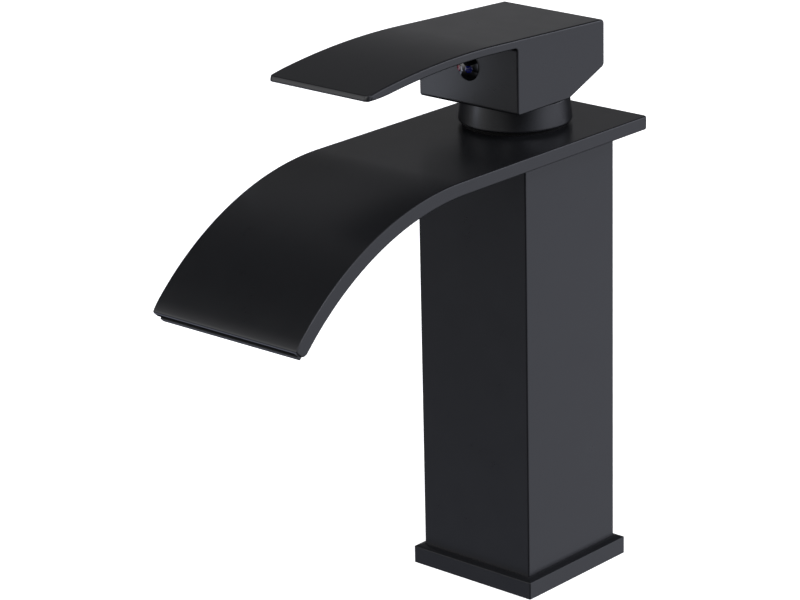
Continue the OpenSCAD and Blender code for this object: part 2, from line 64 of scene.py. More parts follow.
# %% Camera
PICTURE_WIDTH = 800
FOCAL_PIXELS = 3334.0
SHIFT_PIXELS = -1.95
SENSOR_WIDTH = 36.0
azimuth, elevation, roll = np.radians([41.73, 18.92, -1.27])
DISTANCE = 1.0938
AIM_SIDE = -0.0384
AIM_HEIGHT = 0.0933

away = np.array([math.sin(azimuth) * math.cos(elevation),
                 -math.cos(azimuth) * math.cos(elevation),
                 math.sin(elevation)])
level = np.array([math.cos(azimuth), math.sin(azimuth), 0.0])
upward = np.cross(away, level)
placement = np.eye(4)
placement[:3, 0] = math.cos(roll) * level + math.sin(roll) * upward
placement[:3, 1] = math.cos(roll) * upward - math.sin(roll) * level
placement[:3, 2] = away
placement[:3, 3] = AIM_SIDE * level + DISTANCE * away
placement[2, 3] += AIM_HEIGHT

camera_data = bpy.data.cameras.new("studio_camera")
camera_data.sensor_width = SENSOR_WIDTH
camera_data.lens = FOCAL_PIXELS / PICTURE_WIDTH * SENSOR_WIDTH
camera_data.shift_y = SHIFT_PIXELS / PICTURE_WIDTH
camera = bpy.data.objects.new("studio_camera", camera_data)
bpy.context.scene.collection.objects.link(camera)
camera.matrix_world = Matrix(placement.tolist())
bpy.context.scene.camera = camera
print("Lens in mm:", round(camera_data.lens, 1))

# %% [markdown]
# ## Surfaces from arrays
#
# Most shapes here are grids: a closed curve is moved or changed row by row, and neighbouring
# rows are joined by quads. They could be modelled by hand, but worked out from numbers they fit
# the CAD, which has the same numbers. One helper turns such a block of points into a mesh. It merges
# points that fall together, such as those at a pole, and turns all faces outwards. Edges
# sharper than 35 degrees stay crisp, and all others are shaded smooth.


# %% Grid to mesh
CRISP = math.radians(35)
TOUCH = 1e-7
new_pieces = []


def grid_mesh(name, points, wrap_rows=False, caps=()):
    """Joins points[row, column] to its neighbours by quads. Columns wrap round, and rows do
    where asked. Each row in caps is closed with a flat face. Lengths are in millimetres."""
    rows, columns = points.shape[:2]
    index = np.arange(rows * columns).reshape(rows, columns)
    a = index if wrap_rows else index[:-1]
    b = np.roll(index, -1, axis=0) if wrap_rows else index[1:]
    quads = np.stack([a, np.roll(a, -1, axis=1), np.roll(b, -1, axis=1), b], axis=-1)
    faces = quads.reshape(-1, 4).tolist() + [index[row].tolist() for row in caps]
    mesh = bpy.data.meshes.new(name)
    mesh.from_pydata((points.reshape(-1, 3) * MM).tolist(), [], faces)
    tidy(mesh)
    return mesh


def tidy(mesh):
    """Merges points closer than TOUCH metres, drops what has no area and turns all faces
    outwards."""
    work = bmesh.new()
    work.from_mesh(mesh)
    bmesh.ops.remove_doubles(work, verts=work.verts, dist=TOUCH)
    bmesh.ops.dissolve_degenerate(work, edges=work.edges, dist=TOUCH)
    bmesh.ops.recalc_face_normals(work, faces=work.faces)
    work.to_mesh(mesh)
    work.free()


def make_piece(name, mesh, body, slot, *nodes):
    """Adds a mesh as a piece that rides on a body and stands for the given CAD nodes, and
    notes it with its slot, so that it gets its finish later."""
    mesh.shade_smooth()
    mesh.set_sharp_from_angle(angle=CRISP)
    piece = bpy.data.objects.new(name, mesh)
    bpy.context.scene.collection.objects.link(piece)
    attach(piece, body)
    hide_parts(*nodes)
    new_pieces.append((piece, slot))
    print(f"{name}: {len(mesh.polygons)} faces")


# %% [markdown]
# ## Soft corners
#
# No machined edge is a perfect corner: a radius of half a millimetre is what draws the thin
# bright line along an edge. A Bevel modifier could round it, but here each corner has a radius of
# its own. A polygon's sharp corners are swapped for arcs, and an extra point beside each arc
# keeps the shading of the flat stretch flat.


# %% Rounded polygon
ARC_STEPS = 6
SUPPORT = 0.25
SMOOTH_TURN = math.radians(12)


def unit(vectors):
    """Vectors divided by their lengths."""
    return vectors / np.linalg.norm(vectors, axis=-1, keepdims=True)


def soften(corners, radii):
    """Swaps each sharp corner of a closed polygon for an arc. The arc of radius r starts at
    r * tan(turn / 2) before the corner. Corners that turn less than SMOOTH_TURN stay."""
    corners = np.asarray(corners, float)
    radii = np.broadcast_to(radii, len(corners))
    before = unit(corners - np.roll(corners, 1, axis=0))
    after = unit(np.roll(corners, -1, axis=0) - corners)
    out = []
    for corner, ahead, on, radius in zip(corners, before, after, radii):
        turn = math.acos(float(np.clip(ahead @ on, -1, 1)))
        if turn < SMOOTH_TURN or radius == 0:
            out.append(corner)
            continue
        reach = radius * math.tan(turn / 2)
        middle = corner + (on - ahead) / np.linalg.norm(on - ahead) * radius / math.cos(turn / 2)
        steps = max(2, round(ARC_STEPS * turn / (math.pi / 2)))
        start = corner - reach * ahead - middle
        sign = math.copysign(1.0, ahead[0] * on[1] - ahead[1] * on[0])
        angle = np.linspace(0, turn * sign, steps + 1)
        arc = np.column_stack([start[0] * np.cos(angle) - start[1] * np.sin(angle),
                               start[0] * np.sin(angle) + start[1] * np.cos(angle)])
        out.extend([corner - (reach + SUPPORT) * ahead, *(middle + arc),
                    corner + (reach + SUPPORT) * on])
    return np.array(out)


def area(outline):
    """Signed area: half the sum of the cross products of neighbouring points."""
    after = np.roll(outline, -1, axis=0)
    return 0.5 * float(np.sum(outline[:, 0] * after[:, 1] - outline[:, 1] * after[:, 0]))


def inset(outline, distance):
    """Moves a closed anticlockwise outline inwards. Each point goes along the mitre of its two
    edges, (n1 + n2) / (1 + n1 . n2), so that both edges move by the distance."""
    before = unit(outline - np.roll(outline, 1, axis=0))
    after = unit(np.roll(outline, -1, axis=0) - outline)
    normal_before = np.column_stack([-before[:, 1], before[:, 0]])
    normal_after = np.column_stack([-after[:, 1], after[:, 0]])
    square = 1 + np.sum(normal_before * normal_after, axis=-1, keepdims=True)
    return outline + (normal_before + normal_after) / square * distance


# %% [markdown]
# ## A side outline carried across
#
# Spout and handle are both a side outline that runs across the faucet. An extruded curve could
# do it, but seen from above the spout has round corners at its back and the lever at its front.
# At each end the outline shrinks along a quarter circle, which rounds the long edges. A last
# ring a little further in keeps the big flat side from picking up the shading of its rim.


# %% Rounded extrusion
PLAN_STEPS = 8
PLAN_FADE = 3
LAST_INSET = 1.5


def plan_lag(radius, side, inwards):
    """How far an end stays back at a distance from the side, so that its corner is a circle
    in plan: radius - sqrt(radius^2 - (radius - side)^2), less what the inset already took."""
    slack = max(radius - side, 0.0)
    return max(radius - math.sqrt(radius**2 - slack**2) - inwards, 0.0)


def carry_across(name, outline, width, edge, tail=0.0, front=0.0):
    """Carries an outline (forwards, up) from one side to the other. At the angle q of the
    edge's quarter circle the outline is inset by edge * (1 - cos q), at a distance of
    edge * (1 - sin q) from the side. The last ring is inset by LAST_INSET * edge. Tail and
    front are radii that round the corners in plan, and fade out over PLAN_FADE radii."""
    if area(outline) < 0:
        outline = outline[::-1]
    quarter = np.linspace(0, math.pi / 2, ARC_STEPS + 1)
    plain = np.linspace(max(tail, front, edge) + SUPPORT, edge + SUPPORT, PLAN_STEPS)
    from_side = [*plain, *(edge * (1 - np.sin(quarter))), 0.0]
    insets = [*np.zeros(len(plain)), *(edge * (1 - np.cos(quarter))), LAST_INSET * edge]
    rings = []
    for side, inwards in zip(from_side, insets):
        flat = inset(outline, inwards)
        back_end, front_end = flat[:, 0].min(), flat[:, 0].max()
        if tail:
            near = np.clip(1 - (flat[:, 0] - back_end) / (PLAN_FADE * tail), 0, 1)
            flat[:, 0] += plan_lag(tail, side, inwards) * near
        if front:
            near = np.clip(1 - (front_end - flat[:, 0]) / (PLAN_FADE * front), 0, 1)
            flat[:, 0] -= plan_lag(front, side, inwards) * near
        rings.append(np.column_stack([np.full(len(flat), width / 2 - side),
                                      -flat[:, 0], flat[:, 1]]))
    points = np.array([ring * [-1, 1, 1] for ring in rings[::-1]] + rings)
    return grid_mesh(name, points, caps=(0, len(points) - 1))


def arc_points(centre, radius, start, end, count):
    """Points on an arc: centre + radius * (sin a, cos a), with a in degrees."""
    angle = np.radians(np.linspace(start, end, count))
    return np.asarray(centre) + radius * np.column_stack([np.sin(angle), np.cos(angle)])


# %% [markdown]
# ## Turned and cut shapes
#
# Round pieces are a profile turned about an axis. Blender's Spin could turn them, but as a grid
# they use the same helper as all other pieces. Holes and hollows are cut with booleans, as a
# drill or a ball mill would cut them.


# %% Turning and cutting
TURNED_SIDES = 128
ROD_SIDES = 96
BALL_STEPS = 65


def turned(name, profile, sides=TURNED_SIDES):
    """Turns a closed profile (radius, height) about the upright axis:
    x = r cos a, y = r sin a, z = height."""
    angle = np.linspace(0, 2 * math.pi, sides, endpoint=False)
    profile = np.asarray(profile, float)
    radius = profile[:, 0][:, None]
    height = np.repeat(profile[:, 1][:, None], sides, axis=1)
    points = np.stack([radius * np.cos(angle), radius * np.sin(angle), height], axis=-1)
    return grid_mesh(name, points, wrap_rows=True)


def cut(mesh, *tools):
    """Takes the tools out of a mesh with exact booleans."""
    piece = bpy.data.objects.new("being_cut", mesh)
    helpers = [bpy.data.objects.new("cutter", tool) for tool in tools]
    for item in [piece, *helpers]:
        bpy.context.scene.collection.objects.link(item)
    for helper in helpers:
        boolean = piece.modifiers.new("cut", "BOOLEAN")
        boolean.operation = "DIFFERENCE"
        boolean.solver = "EXACT"
        boolean.object = helper
    graph = bpy.context.evaluated_depsgraph_get()
    result = bpy.data.meshes.new_from_object(piece.evaluated_get(graph))
    result.name = mesh.name
    for item in [piece, *helpers]:
        bpy.data.objects.remove(item)
    return result


def slab(outline, width):
    """A plain extrusion of an outline (forwards, up) across the faucet, to cut with."""
    points = np.array([np.column_stack([np.full(len(outline), x), -outline[:, 0],
                                        outline[:, 1]]) for x in (-width / 2, width / 2)])
    return grid_mesh("slab", points, caps=(0, 1))


def rod(radius, low, high, x=0.0, y=0.0):
    """An upright cylinder, to cut with."""
    mesh = turned("rod", [[0, low], [radius, low], [radius, high], [0, high]], ROD_SIDES)
    mesh.transform(Matrix.Translation((x * MM, y * MM, 0)))
    return mesh


def ball(radius, height):
    """A sphere on the upright axis, to cut with: r = radius * sin q, z = height - radius * cos q."""
    q = np.linspace(0, math.pi, BALL_STEPS)
    return turned("ball", np.column_stack([radius * np.sin(q), height - radius * np.cos(q)]))


# %% [markdown]
# ## The column and its flange
#
# The column is a square tube. Its outline is a rounded square, and the same four-sided path
# carries the flange's profile: a low plinth with a seat for the tube and a wide way for the
# hoses. A box with a Bevel modifier could stand in for either, but a carried profile gives every
# edge its own radius. The flange's upper edge turns in quickly by 58 degrees and then slowly to
# the flat top, which keeps the bright line along it thin. On an inner ring of the path the
# corner radius shrinks with the inset, down to almost nothing.


# %% Square ring
CORNER_STEPS = 6
LEAST_CORNER = 0.04


def square_ring(half, corner):
    """Points round a square of half width half, with round corners and a support point
    beside each arc. Their number is the same for any size."""
    angle = np.linspace(0, math.pi / 2, CORNER_STEPS + 1)
    arc = np.column_stack([np.cos(angle), np.sin(angle)]) * corner + (half - corner)
    side = half - corner - SUPPORT
    one = np.vstack([[half, side], arc, [side, half]])
    turn = np.array([[0, 1], [-1, 0]])
    return np.vstack([one, one @ turn, one @ turn @ turn, one @ turn @ turn @ turn])


def square_frame(name, profile, half, corner):
    """Carries a closed profile (inset, height) round a square."""
    rings = []
    for inwards, height in profile:
        ring = square_ring(half - inwards, max(corner - inwards, LEAST_CORNER))
        rings.append(np.column_stack([ring, np.full(len(ring), height)]))
    return grid_mesh(name, np.array(rings), wrap_rows=True)


# %% Column
COLUMN_HALF = 22.5
COLUMN_WALL = 2.5
COLUMN_CORNER = 0.45
COLUMN_FOOT = 3.0
TUBE_EDGE = 0.15
SPOUT_UNDER = 148.1

tube_profile = soften([[0, COLUMN_FOOT], [0, SPOUT_UNDER],
                       [COLUMN_WALL, SPOUT_UNDER], [COLUMN_WALL, COLUMN_FOOT]], TUBE_EDGE)
make_piece("column", square_frame("column", tube_profile, COLUMN_HALF, COLUMN_CORNER),
           "faucet_body", "satin_black", "column_shell")

# %% Flange
FLANGE_HALF = 25.1
FLANGE_HEIGHT = 6.6
FLANGE_ROUND = 2.5
TIGHT_ROUND = 0.2
TIGHT_TURN = 58
TIGHT_STEPS = 6
SLOW_STEPS = 8
FLANGE_CORNER = 0.35
FOOT_CHAMFER = 0.15
COLUMN_PLAY = 0.05
SEAT = FLANGE_HALF - COLUMN_HALF - COLUMN_PLAY
HOSE_WAY_HALF = 18.0
HOSE_WAY = FLANGE_HALF - HOSE_WAY_HALF
GROOVE_DEPTH = 1.5
GROOVE = (2.05, 5.15)

crown = TIGHT_ROUND + (FLANGE_ROUND - TIGHT_ROUND) / math.cos(math.radians(TIGHT_TURN))
tight_height = (FLANGE_HEIGHT - crown
                + (crown - TIGHT_ROUND) * math.sin(math.radians(TIGHT_TURN)))
tight = np.radians(np.linspace(0, TIGHT_TURN, TIGHT_STEPS))[:, None]
slow = np.radians(np.linspace(TIGHT_TURN, 90, SLOW_STEPS)[1:])[:, None]
foot_support = FOOT_CHAMFER + SUPPORT
flange_profile = np.vstack([
    [[0, FOOT_CHAMFER], [0, foot_support], [0, tight_height - SUPPORT]],
    [TIGHT_ROUND, tight_height] + TIGHT_ROUND * np.hstack([-np.cos(tight), np.sin(tight)]),
    [FLANGE_ROUND, FLANGE_HEIGHT - crown] + crown * np.hstack([-np.cos(slow), np.sin(slow)]),
    [[SEAT, FLANGE_HEIGHT], [SEAT, COLUMN_FOOT], [HOSE_WAY, COLUMN_FOOT], [HOSE_WAY, 0],
     [GROOVE[1], 0], [GROOVE[1], GROOVE_DEPTH], [GROOVE[0], GROOVE_DEPTH], [GROOVE[0], 0],
     [foot_support, 0], [FOOT_CHAMFER, 0]]])
make_piece("flange", square_frame("flange", flange_profile, FLANGE_HALF, FLANGE_CORNER),
           "faucet_body", "satin_black", "base_flange")

# %% [markdown]
# ## The waterfall spout
#
# The spout is a flat hollow blade that bends down at its front. Its outline has a straight top,
# then a wide arc, a square nose with a round lower corner, and a slightly tighter arc
# underneath. A bent box could come close, but with arcs that are worked out the same function
# gives the skin, the room in it and the floor. Water runs between the top skin and a thin floor,
# and falls out of the slot in the nose. The last millimetres of the skin roll off, which is what
# lights up as a soft band along the nose.

# %% Spout outline
SPOUT_TOP = 152.6
SPOUT_WIDTH = 59.6
SPOUT_TAIL = -31.5
BEND_START = 61.7
BEND_RADIUS = 102.0
UNDER_START = 59.6
UNDER_RADIUS = 100.5
SPOUT_REACH = 137.3
BEND_POINTS = 73
SMALL_ARC = 9
NOSE_ROLL = 4.5
NOSE_DROP = 11

bend_centre = np.array([BEND_START, SPOUT_TOP - BEND_RADIUS])
under_centre = np.array([UNDER_START, SPOUT_UNDER - UNDER_RADIUS])
tip_angle = math.degrees(math.asin((SPOUT_REACH - BEND_START) / BEND_RADIUS))
tip_along = np.array([math.cos(math.radians(tip_angle)), -math.sin(math.radians(tip_angle))])


def roll_off(points, centre, length, angle):
    """Lets the end of an arc fall away: a point at the distance s < length from the last one
    moves towards the centre by angle * (length - s)^2 / (2 * length)."""
    s = np.linalg.norm(points - points[-1], axis=-1)
    drop = math.radians(angle) * np.clip(length - s, 0, None) ** 2 / (2 * length)
    return points - unit(points - centre) * drop[:, None]


def under_end(radius, corner):
    """Angle at which an arc about the underside's centre ends, so that a corner of the given
    radius fits between it and the plane of the nose. The corner's middle lies at the distance
    radius + corner from the underside's centre and one corner radius behind the plane:
    sin(angle - tip) = ((bend_centre - under_centre) . tip_along - corner) / (radius + corner)."""
    offset = float((bend_centre - under_centre) @ tip_along) - corner
    return tip_angle + math.degrees(math.asin(offset / (radius + corner)))


def spout_outline(drop, rise, back, beyond=0.0, corner=0.0):
    """Outline of a layer of the spout: the top lowered, the underside raised, the back moved
    and the nose made longer, or its lower corner rounded."""
    low_radius = UNDER_RADIUS + rise
    top = arc_points(bend_centre, BEND_RADIUS - drop, 0, tip_angle, BEND_POINTS)
    low_angle = under_end(low_radius, corner)
    low = arc_points(under_centre, low_radius, low_angle, 0, BEND_POINTS)
    if corner:
        middle = arc_points(under_centre, low_radius + corner, low_angle, low_angle, 1)[0]
        under_nose = arc_points(middle, corner, 90 + tip_angle, 180 + low_angle, SMALL_ARC)
        low = np.vstack([under_nose[:-1], low])
    if beyond:
        top = np.vstack([top, top[-1] + beyond * tip_along])
        low = np.vstack([low[0] + beyond * tip_along, low])
    else:
        top = roll_off(top, bend_centre, NOSE_ROLL, NOSE_DROP)
    top_start = [[back, SPOUT_TOP - drop], [0, SPOUT_TOP - drop]]
    low_end = [[0, SPOUT_UNDER + rise], [back, SPOUT_UNDER + rise]]
    return np.vstack([top_start, top, low, low_end])


# %% Spout skin
SKIN = 1.2
SIDE_WALL = 1.5
BOSS_HOLE = 16.1
SPOUT_EDGE = 0.45
NOSE_CORNER = 2.4
TAIL_CORNER = 1.7
BLADE_CORNERS = 0.8
ROOM_UNDER = 2.0
ROOM_BEYOND = 4.0
CUT_PAST = 5

blade = soften(spout_outline(0, 0, SPOUT_TAIL, corner=NOSE_CORNER), BLADE_CORNERS)
blade_mesh = carry_across("spout_skin", blade, SPOUT_WIDTH, SPOUT_EDGE, tail=TAIL_CORNER)
room = spout_outline(SKIN, -ROOM_UNDER, SPOUT_TAIL + SIDE_WALL, beyond=ROOM_BEYOND)
skin_mesh = cut(blade_mesh, slab(room, SPOUT_WIDTH - 2 * SIDE_WALL),
                rod(BOSS_HOLE, SPOUT_UNDER - CUT_PAST, SPOUT_TOP + CUT_PAST))
make_piece("spout_skin", skin_mesh, "faucet_body", "satin_black", "spout_cover")

# %% Spout floor
PLATE = 1.3
PLATE_PLAY = 0.05
PLATE_CORNERS = 0.2
PLATE_EDGE = 0.12
LIP = 0.5
RISER = (12.084, -14.402)
RISER_HOLE = 2.1

plate_back = SPOUT_TAIL + SIDE_WALL + PLATE_PLAY
plate = soften(spout_outline(SPOUT_TOP - SPOUT_UNDER - PLATE, 0, plate_back, beyond=LIP),
               PLATE_CORNERS)
plate_mesh = carry_across("spout_floor_plate", plate,
                          SPOUT_WIDTH - 2 * (SIDE_WALL + PLATE_PLAY), PLATE_EDGE)
risers = [rod(RISER_HOLE, SPOUT_UNDER - CUT_PAST, SPOUT_TOP, side * RISER[0], RISER[1])
          for side in (-1, 1)]
plate_mesh = cut(plate_mesh, rod(BOSS_HOLE, SPOUT_UNDER - CUT_PAST, SPOUT_TOP), *risers)
make_piece("spout_floor_plate", plate_mesh, "faucet_body", "satin_black", "spout_floor")

# %% [markdown]
# ## The neck ring
#
# A short collar hides the cartridge. Its wall leans in a little, and a dome on top of it is
# struck from the lever's pivot, so that the handle can tip over it and keep the same gap. A
# bevelled cylinder would lack the dome, so the ring is a profile turned about its axis.

# %% Neck ring
PIVOT = 154.0
RING_FOOT = (18.55, 153.8)
RING_SHOULDER = (17.6, 162.0)
DOME = 18.3
DOME_INSIDE = 16.7
DOME_HOLE = 11.3
BOSS_TOP = 159.6
DOME_POINTS = 17
INSIDE_POINTS = 13
RING_EDGE = 0.15
FOOT_EDGE = 0.6
SHOULDER_EDGE = 0.45
RING_SIDES = 192


def dome_arc(radius, first, last, count):
    """Points on a circle about the pivot between two radii from the axis."""
    start, end = (math.degrees(math.asin(r / radius)) for r in (first, last))
    return arc_points((0, PIVOT), radius, start, end, count)


shoulder_on_dome = math.sqrt(DOME**2 - (RING_SHOULDER[1] - PIVOT)**2)
inside_on_boss = math.sqrt(DOME_INSIDE**2 - (BOSS_TOP - PIVOT)**2)
ring_profile = np.vstack([
    [RING_FOOT, RING_SHOULDER],
    dome_arc(DOME, shoulder_on_dome, DOME_HOLE, DOME_POINTS),
    dome_arc(DOME_INSIDE, DOME_HOLE, inside_on_boss, INSIDE_POINTS),
    [[BOSS_HOLE, BOSS_TOP], [BOSS_HOLE, RING_FOOT[1]]]])
ring_radii = np.full(len(ring_profile), RING_EDGE)
ring_radii[:2] = FOOT_EDGE, SHOULDER_EDGE
ring_mesh = turned("neck_collar", soften(ring_profile, ring_radii), RING_SIDES)
make_piece("neck_collar", ring_mesh, "faucet_body", "satin_black", "neck_ring")

# %% [markdown]
# ## The handle
#
# Block and lever are one casting. The top rises a little towards the front and then arches over
# to a thin nose, which goes down in a tight bend, a steep narrow face and a tight lower edge. In
# one outline each of these arcs runs on from the one before, which a bevelled box wouldn't give.
# The block's underside slopes up at the back, so that the handle can tip without touching the
# collar. A spherical hollow, a square socket for the stem, the button's seat and the way of the
# grub screw are cut out of it.

# %% Handle outline
HANDLE_WIDTH = 40.9
HANDLE_EDGE = 0.6
BLOCK_BACK = -20.5
BLOCK_FRONT = 23.2
BLOCK_UNDER = 163.0
BLOCK_TOP = 185.5
SLOPE_START = -2.6
SLOPE = 21.9
RISE = 2.75
ARCH_START = 33.5
ARCH_RADIUS = 285.0
LEVER_REACH = 93.0
LEVER = 2.85
NOSE_ARCS = ((0.5, 62.0), (4.5, 78.0), (0.4, 165.0))
CURL = 11.3
LEVER_POINTS = 97
BACK_CORNER = 1.5
BLOCK_CORNERS = (1.2, 1.0, 3.0, 1.5)


def lean(tilt):
    """Unit normal of an outline that leans forwards by tilt degrees from straight up."""
    return np.array([math.sin(math.radians(tilt)), math.cos(math.radians(tilt))])


def roll_over(point, tilt, arcs):
    """Goes on from a point of an outline, where the normal has the given tilt, through arcs
    given by radius and tilt at the end. Each centre is point - radius * normal."""
    parts = []
    for radius, end in arcs:
        parts.append(arc_points(point - radius * lean(tilt), radius, tilt, end, SMALL_ARC)[1:])
        point, tilt = parts[-1][-1], end
    return np.vstack(parts)


# %% Lever
rise = math.radians(RISE)
arch_top = np.array([ARCH_START, BLOCK_TOP + (ARCH_START - BLOCK_BACK) * math.tan(rise)])
arch_centre = arch_top + ARCH_RADIUS * np.array([math.sin(rise), -math.cos(rise)])
(bend, bend_end), (face, face_end), (tip, _) = NOSE_ARCS
# The nose reaches farthest where its normal is level, at LEVER_REACH. That point is
# arch_centre + (ARCH_RADIUS - bend) * sin(nose_angle) + nose_length.
nose_length = (bend * lean(bend_end) + face * (lean(face_end) - lean(bend_end))
               + tip * (1 - lean(face_end)))[0]
nose_sine = (LEVER_REACH - nose_length - arch_centre[0]) / (ARCH_RADIUS - bend)
nose_angle = math.degrees(math.asin(nose_sine))
lever_top = arc_points(arch_centre, ARCH_RADIUS, -RISE, nose_angle, LEVER_POINTS)
nose = roll_over(lever_top[-1], nose_angle, NOSE_ARCS)
lever_low = arc_points(arch_centre, ARCH_RADIUS - LEVER, nose_angle, -RISE, LEVER_POINTS)
# The underside starts at the height where the nose ends, and is back on its arc after CURL.
curl_start = LEVER_REACH - CURL
curl = np.clip((lever_low[:, 0] - curl_start) / (lever_low[0, 0] - curl_start), 0, 1) ** 2
lever_low[:, 1] += curl * (nose[-1, 1] - lever_low[0, 1])
print("Lever's nose leans forwards by degrees:", round(nose_angle, 1))

# %% Block and lever together
under_lever = arch_top[1] - (ARCH_START - BLOCK_FRONT) * math.tan(rise) - LEVER / math.cos(rise)
slope_end = BLOCK_UNDER + (SLOPE_START - BLOCK_BACK) * math.tan(math.radians(SLOPE))

handle_outline = np.vstack([
    [[BLOCK_BACK, BLOCK_TOP]],
    lever_top,
    nose,
    lever_low,
    [[BLOCK_FRONT, under_lever], [BLOCK_FRONT, BLOCK_UNDER],
     [SLOPE_START, BLOCK_UNDER], [BLOCK_BACK, slope_end]]])
corner_radii = np.zeros(len(handle_outline))
corner_radii[0] = BACK_CORNER
# Under the lever, at the front's foot, where the slope starts, and at the back's foot.
corner_radii[-4:] = BLOCK_CORNERS
handle_outline = soften(handle_outline, corner_radii)

# %% Handle
HANDLE_HOLLOW = 19.83
STEM_SOCKET = 7.1
SOCKET_TOP = 182.0
BUTTON_HEIGHT = 175.7
BUTTON_RADIUS = 4.5
BUTTON_DEPTH = 4.0
GRUB_RADIUS = 2.5
FRONT_CORNER = 2.0
SEAT_PLAY = 0.1
PAST_FRONT = 2


def to_front(mesh):
    """Turns a mesh made upright about the origin so that its axis points forwards out of the
    block's front, at the button's middle: (x, y, z) goes to (x, front - z, height + y)."""
    mesh.transform(Matrix(((1, 0, 0, 0), (0, 0, -1, -BLOCK_FRONT * MM),
                           (0, 1, 0, BUTTON_HEIGHT * MM), (0, 0, 0, 1))))
    return mesh


half_socket = STEM_SOCKET / 2
socket_outline = np.array([[-half_socket, PIVOT], [half_socket, PIVOT],
                           [half_socket, SOCKET_TOP], [-half_socket, SOCKET_TOP]])
handle_mesh = cut(carry_across("handle", handle_outline, HANDLE_WIDTH, HANDLE_EDGE,
                               front=FRONT_CORNER),
                  ball(HANDLE_HOLLOW, PIVOT),
                  slab(socket_outline, STEM_SOCKET),
                  to_front(rod(BUTTON_RADIUS, -BUTTON_DEPTH - SEAT_PLAY, PAST_FRONT)),
                  to_front(rod(GRUB_RADIUS, -BLOCK_FRONT, -BUTTON_DEPTH)))
make_piece("handle", handle_mesh, "handle", "satin_black", "handle_lever")

# %% [markdown]
# ## The button and its dots
#
# A glossy button hides the grub screw. Its cap is part of a sphere, and the hot and cold dots
# are small pins whose ends follow that sphere a little proud of it. Painted spots could do from
# afar, but the CAD has the dots as pieces of their own, and a pin's rim catches the light.

# %% Button
BUTTON_PROUD = 2.6
DOT_RADIUS = 1.17
DOT_HOLE = 1.2
DOT_SIDE = 2.05
DOT_DEPTH = 0.8
DOT_PROUD = 0.05
DOT_BULGE = 0.2
DOT_SIDES = 48
DOT_RINGS = ((0, 0), (0.35, 0), (0.7, 0), (0.9, 0), (0.97, 0.02), (1.0, 0.08), (1.0, 9), (0, 9))
DOT_HOLE_TOP = 4
BUTTON_GAP = 0.05
CAP_POINTS = 25

# A cap of radius r and height h belongs to a sphere of radius (r^2 + h^2) / (2 h).
cap_radius = (BUTTON_RADIUS**2 + BUTTON_PROUD**2) / (2 * BUTTON_PROUD)
cap_centre = BUTTON_PROUD - cap_radius
button_wall = BUTTON_RADIUS - BUTTON_GAP
cap_edge = math.degrees(math.asin(button_wall / cap_radius))
button_profile = np.vstack([arc_points((0, cap_centre), cap_radius, 0, cap_edge, CAP_POINTS),
                            [[button_wall, -BUTTON_DEPTH], [0, -BUTTON_DEPTH]]])
button_mesh = cut(turned("button", button_profile),
                  *[rod(DOT_HOLE, DOT_DEPTH, DOT_HOLE_TOP, side * DOT_SIDE) for side in (-1, 1)])
make_piece("button", to_front(button_mesh), "handle", "gloss_black", "indicator_button")


def dot(name, side):
    """A round pin whose end follows the cap: z = centre + sqrt(R^2 - x^2 - y^2), and bulges
    by DOT_BULGE * (1 - (r / DOT_RADIUS)^2). DOT_RINGS has each ring's share of the radius and
    how far it sinks: a little at the rim, which rounds it, and at the end down to DOT_DEPTH."""
    share, sink = np.array(DOT_RINGS).T
    radius = DOT_RADIUS * share
    angle = np.linspace(0, 2 * math.pi, DOT_SIDES, endpoint=False)
    x = radius[:, None] * np.cos(angle) + side * DOT_SIDE
    y = radius[:, None] * np.sin(angle)
    bulge = DOT_BULGE * (1 - (radius / DOT_RADIUS)**2)
    z = cap_centre + np.sqrt((cap_radius + DOT_PROUD)**2 - x**2 - y**2)
    z += (bulge - sink)[:, None]
    return to_front(grid_mesh(name, np.stack([x, y, np.maximum(z, DOT_DEPTH)], axis=-1)))


make_piece("hot_dot", dot("hot_dot", -1), "handle", "hot_red", "hot_marker")
make_piece("cold_dot", dot("cold_dot", 1), "handle", "cold_blue", "cold_marker")

# %% [markdown]
# ## The fixing under the deck
#
# The stud is a threaded rod and the nut is a long hexagon. A thread is a helix: at height z and
# angle a the radius follows a wave of z / pitch - a / 360 degrees. Blender's Screw modifier could
# wind it, but the formula gives its cone ends as well. The nut's corners are cut off by a cone at
# both ends.

# %% Stud
STUD_RADIUS = 4.0
STUD_PITCH = 1.25
THREAD_DEPTH = 0.6
STUD_BACK = 12.0
STUD_LOW = -56.0
STUD_HIGH = 129.1
THREAD_SIDES = 32
STEPS_PER_TURN = 8
THREAD_FLANK = 1.3
THREAD_CREST = 0.15


def thread(turns):
    """Depth of a thread where the argument counts turns: 0 on the crest, 1 at the root."""
    wave = np.abs((turns % 1.0) * 2 - 1)
    return np.clip(wave * THREAD_FLANK - THREAD_CREST, 0, 1)


def threaded_rod(name, radius, low, high, pitch, depth):
    """A rod with r = radius - depth * thread(z / pitch - a / 360 degrees), and cone ends."""
    z = np.arange(low, high, pitch / STEPS_PER_TURN)
    z = np.append(z, high)[:, None]
    angle = np.linspace(0, 2 * math.pi, THREAD_SIDES, endpoint=False)[None, :]
    r = radius - depth * thread(z / pitch - angle / (2 * math.pi))
    r = np.minimum(r, radius - depth + np.minimum(z - low, high - z))
    z = np.broadcast_to(z, r.shape)
    points = np.stack([r * np.cos(angle), r * np.sin(angle), z], axis=-1)
    return grid_mesh(name, points, caps=(0, len(points) - 1))


stud_mesh = threaded_rod("threaded_stud", STUD_RADIUS, STUD_LOW, STUD_HIGH,
                         STUD_PITCH, THREAD_DEPTH)
stud_place = Matrix.Translation((0, STUD_BACK * MM, 0))
stud_mesh.transform(stud_place)
make_piece("threaded_stud", stud_mesh, "faucet_body", "steel", "mounting_stud")

